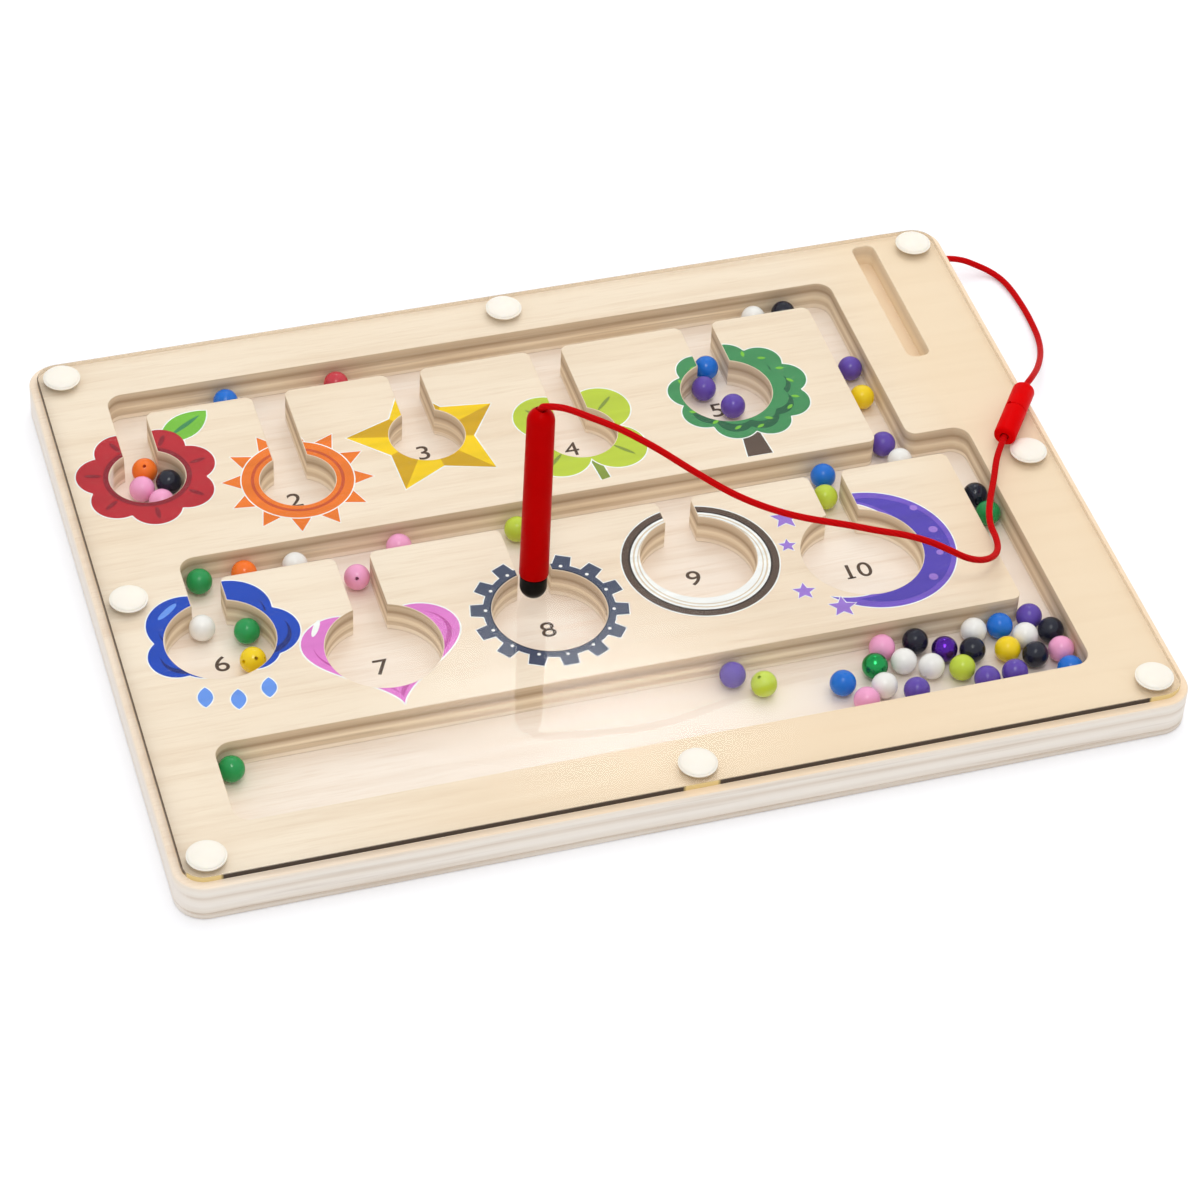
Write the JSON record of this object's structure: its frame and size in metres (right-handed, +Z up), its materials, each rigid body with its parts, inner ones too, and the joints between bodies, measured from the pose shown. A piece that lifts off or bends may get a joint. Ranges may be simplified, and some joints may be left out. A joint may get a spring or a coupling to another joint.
{
  "type": "magnetic bead maze board",
  "caption": "Wooden tabletop maze with coloured beads under a clear cover, which a magnet pen on a pull-apart cord draws along channels into round pockets.",
  "frame": {"origin": "centre of the wooden board's underside", "axes": "+X along the board's long side, towards the side the cord leaves from; +Y towards the board's back long side; +Z up, out of the clear cover"},
  "size_m": [0.3219, 0.225, 0.0827],
  "materials": {
    "wood": "sanded, unvarnished birch plywood",
    "clear": "clear acrylic sheet",
    "ivory": "moulded, smooth",
    "red": "moulded, glossy",
    "black": "moulded, glossy",
    "magnet": "sealed magnet rod",
    "cord": "springy round braided cord",
    "blue": "lacquered, glossy",
    "navy": "lacquered, glossy",
    "white": "lacquered, glossy",
    "pink": "lacquered, glossy",
    "orange": "lacquered, glossy",
    "purple": "lacquered, glossy",
    "yellow": "lacquered, glossy",
    "lime": "lacquered, glossy",
    "green": "lacquered, glossy",
    "bead_red": "lacquered, glossy"
  },
  "bodies": {
    "board": {"base_board": "wood", "maze_panel": "wood", "clear_cover": "clear", "cover_rivet_1": "ivory", "cover_rivet_2": "ivory", "cover_rivet_3": "ivory", "cover_rivet_4": "ivory", "cover_rivet_5": "ivory", "cover_rivet_6": "ivory", "cover_rivet_7": "ivory", "cover_rivet_8": "ivory", "cord_tail": "cord", "clasp_socket": "red"},
    "leash": {"clasp_plug": "red", "cord_lead": "cord"},
    "pen": {"pen_barrel": "red", "pen_tip": "black", "pen_magnet": "magnet"},
    "bead_01": {"bead_01_blue": "blue"},
    "bead_02": {"bead_02_red": "bead_red"},
    "bead_03": {"bead_03_white": "white"},
    "bead_04": {"bead_04_navy": "navy"},
    "bead_05": {"bead_05_green": "green"},
    "bead_06": {"bead_06_orange": "orange"},
    "bead_07": {"bead_07_white": "white"},
    "bead_08": {"bead_08_pink": "pink"},
    "bead_09": {"bead_09_purple": "purple"},
    "bead_10": {"bead_10_yellow": "yellow"},
    "bead_11": {"bead_11_orange": "orange"},
    "bead_12": {"bead_12_navy": "navy"},
    "bead_13": {"bead_13_pink": "pink"},
    "bead_14": {"bead_14_pink": "pink"},
    "bead_15": {"bead_15_blue": "blue"},
    "bead_16": {"bead_16_purple": "purple"},
    "bead_17": {"bead_17_purple": "purple"},
    "bead_18": {"bead_18_white": "white"},
    "bead_19": {"bead_19_green": "green"},
    "bead_20": {"bead_20_yellow": "yellow"},
    "bead_21": {"bead_21_pink": "pink"},
    "bead_22": {"bead_22_lime": "lime"},
    "bead_23": {"bead_23_blue": "blue"},
    "bead_24": {"bead_24_lime": "lime"},
    "bead_25": {"bead_25_white": "white"},
    "bead_26": {"bead_26_purple": "purple"},
    "bead_27": {"bead_27_navy": "navy"},
    "bead_28": {"bead_28_green": "green"},
    "bead_29": {"bead_29_green": "green"},
    "bead_30": {"bead_30_purple": "purple"},
    "bead_31": {"bead_31_lime": "lime"},
    "bead_32": {"bead_32_blue": "blue"},
    "bead_33": {"bead_33_pink": "pink"},
    "bead_34": {"bead_34_green": "green"},
    "bead_35": {"bead_35_pink": "pink"},
    "bead_36": {"bead_36_navy": "navy"},
    "bead_37": {"bead_37_white": "white"},
    "bead_38": {"bead_38_purple": "purple"},
    "bead_39": {"bead_39_lime": "lime"},
    "bead_40": {"bead_40_white": "white"},
    "bead_41": {"bead_41_yellow": "yellow"},
    "bead_42": {"bead_42_blue": "blue"}
  },
  "joints": [
    {"name": "clasp_pull", "type": "slide", "parent": "board", "child": "leash", "axis": [-0.5878, -0.809, 0], "range_m": [0, 0.012]},
    {"name": "pen_glide", "type": "slide", "parent": "leash", "child": "pen", "axis": [1, 0, 0], "range_m": [-0.09, 0.09], "deforming": ["cord_lead"]},
    {"name": "bead_01_roll", "type": "slide", "parent": "board", "child": "bead_01", "axis": [1, 0, 0], "range_m": [-0.0195, 0.017]},
    {"name": "bead_02_roll", "type": "slide", "parent": "board", "child": "bead_02", "axis": [1, 0, 0], "range_m": [-0.0085, 0.1]},
    {"name": "bead_03_roll", "type": "slide", "parent": "board", "child": "bead_03", "axis": [1, 0, 0], "range_m": [-0.028, 0.001]},
    {"name": "bead_04_roll", "type": "slide", "parent": "board", "child": "bead_04", "axis": [1, 0, 0], "range_m": [-0.0008, 0.011]},
    {"name": "bead_09_roll", "type": "slide", "parent": "board", "child": "bead_09", "axis": [0, 1, 0], "range_m": [-0.004, 0.018]},
    {"name": "bead_10_roll", "type": "slide", "parent": "board", "child": "bead_10", "axis": [0, 1, 0], "range_m": [-0.0095, 0.0005]},
    {"name": "bead_21_roll", "type": "slide", "parent": "board", "child": "bead_21", "axis": [0, 1, 0], "range_m": [-0.041, 0.0095]},
    {"name": "bead_24_roll", "type": "slide", "parent": "board", "child": "bead_24", "axis": [0, 1, 0], "range_m": [-0.04, 0]},
    {"name": "bead_29_roll", "type": "slide", "parent": "board", "child": "bead_29", "axis": [1, 0, 0], "range_m": [0, 0.12]},
    {"name": "bead_28_roll", "type": "slide", "parent": "board", "child": "bead_28", "axis": [0, 1, 0], "range_m": [-0.034, 0]},
    {"name": "bead_27_roll", "type": "slide", "parent": "board", "child": "bead_27", "axis": [0, 1, 0], "range_m": [0, 0.015]},
    {"name": "bead_08_roll", "type": "slide", "parent": "board", "child": "bead_08", "axis": [1, 0, 0], "range_m": [-0.006, 0.027]},
    {"name": "bead_07_roll", "type": "slide", "parent": "board", "child": "bead_07", "axis": [1, 0, 0], "range_m": [-0.006, 0.007]},
    {"name": "bead_06_roll", "type": "slide", "parent": "board", "child": "bead_06", "axis": [1, 0, 0], "range_m": [-0.003, 0.0005]},
    {"name": "bead_05_roll", "type": "slide", "parent": "board", "child": "bead_05", "axis": [1, 0, 0], "range_m": [-0.0006, 0.0015]},
    {"name": "bead_15_roll", "type": "slide", "parent": "board", "child": "bead_15", "axis": [0, 1, 0], "range_m": [0, 0.011]},
    {"name": "bead_16_roll", "type": "slide", "parent": "board", "child": "bead_16", "axis": [0, 1, 0], "range_m": [-0.005, 0]},
    {"name": "bead_17_roll", "type": "slide", "parent": "board", "child": "bead_17", "axis": [0, 1, 0], "range_m": [-0.0065, 0]},
    {"name": "bead_18_roll", "type": "slide", "parent": "board", "child": "bead_18", "axis": [0, 1, 0], "range_m": [-0.018, 0]},
    {"name": "bead_19_roll", "type": "slide", "parent": "board", "child": "bead_19", "axis": [1, 0, 0], "range_m": [-0.0035, 0]},
    {"name": "bead_20_roll", "type": "slide", "parent": "board", "child": "bead_20", "axis": [1, 0, 0], "range_m": [-0.003, 0.0006]},
    {"name": "bead_11_roll", "type": "slide", "parent": "board", "child": "bead_11", "axis": [0, 1, 0], "range_m": [0, 0.012]},
    {"name": "bead_13_roll", "type": "slide", "parent": "board", "child": "bead_13", "axis": [1, 0, 0], "range_m": [-0.0043, 0]},
    {"name": "bead_23_roll", "type": "slide", "parent": "board", "child": "bead_23", "axis": [1, 0, 0], "range_m": [-0.055, 0.013]},
    {"name": "bead_22_roll", "type": "slide", "parent": "board", "child": "bead_22", "axis": [1, 0, 0], "range_m": [0, 0.03]},
    {"name": "bead_25_roll", "type": "slide", "parent": "board", "child": "bead_25", "axis": [1, 0, 0], "range_m": [-0.0005, 0.008]},
    {"name": "bead_26_roll", "type": "slide", "parent": "board", "child": "bead_26", "axis": [0, 1, 0], "range_m": [0, 0.0014]},
    {"name": "bead_30_roll", "type": "slide", "parent": "board", "child": "bead_30", "axis": [1, 0, 0], "range_m": [-0.018, 0.001]},
    {"name": "bead_31_roll", "type": "slide", "parent": "board", "child": "bead_31", "axis": [1, 0, 0], "range_m": [0, 0.012]},
    {"name": "bead_32_roll", "type": "slide", "parent": "board", "child": "bead_32", "axis": [1, 0, 0], "range_m": [-0.0025, 0]},
    {"name": "bead_34_roll", "type": "slide", "parent": "board", "child": "bead_34", "axis": [1, 0, 0], "range_m": [-0.0025, 0]},
    {"name": "bead_36_roll", "type": "slide", "parent": "board", "child": "bead_36", "axis": [1, 0, 0], "range_m": [-0.0015, 0.0008]},
    {"name": "bead_37_roll", "type": "slide", "parent": "board", "child": "bead_37", "axis": [0, 1, 0], "range_m": [-0.002, 0]},
    {"name": "bead_38_roll", "type": "slide", "parent": "board", "child": "bead_38", "axis": [0, 1, 0], "range_m": [0, 0.0015]},
    {"name": "bead_40_lift", "type": "slide", "parent": "board", "child": "bead_40", "axis": [0, 0, 1], "range_m": [0, 0.0018]},
    {"name": "bead_41_roll", "type": "slide", "parent": "board", "child": "bead_41", "axis": [1, 0, 0], "range_m": [-0.0018, 0]},
    {"name": "bead_12_lift", "type": "slide", "parent": "board", "child": "bead_12", "axis": [0, 0, 1], "range_m": [0, 0.0018]},
    {"name": "bead_14_lift", "type": "slide", "parent": "board", "child": "bead_14", "axis": [0, 0, 1], "range_m": [0, 0.0018]},
    {"name": "bead_33_lift", "type": "slide", "parent": "board", "child": "bead_33", "axis": [0, 0, 1], "range_m": [0, 0.0018]},
    {"name": "bead_35_lift", "type": "slide", "parent": "board", "child": "bead_35", "axis": [0, 0, 1], "range_m": [0, 0.0018]},
    {"name": "bead_39_lift", "type": "slide", "parent": "board", "child": "bead_39", "axis": [0, 0, 1], "range_m": [0, 0.0018]},
    {"name": "bead_42_lift", "type": "slide", "parent": "board", "child": "bead_42", "axis": [0, 0, 1], "range_m": [0, 0.0018]}
  ]
}
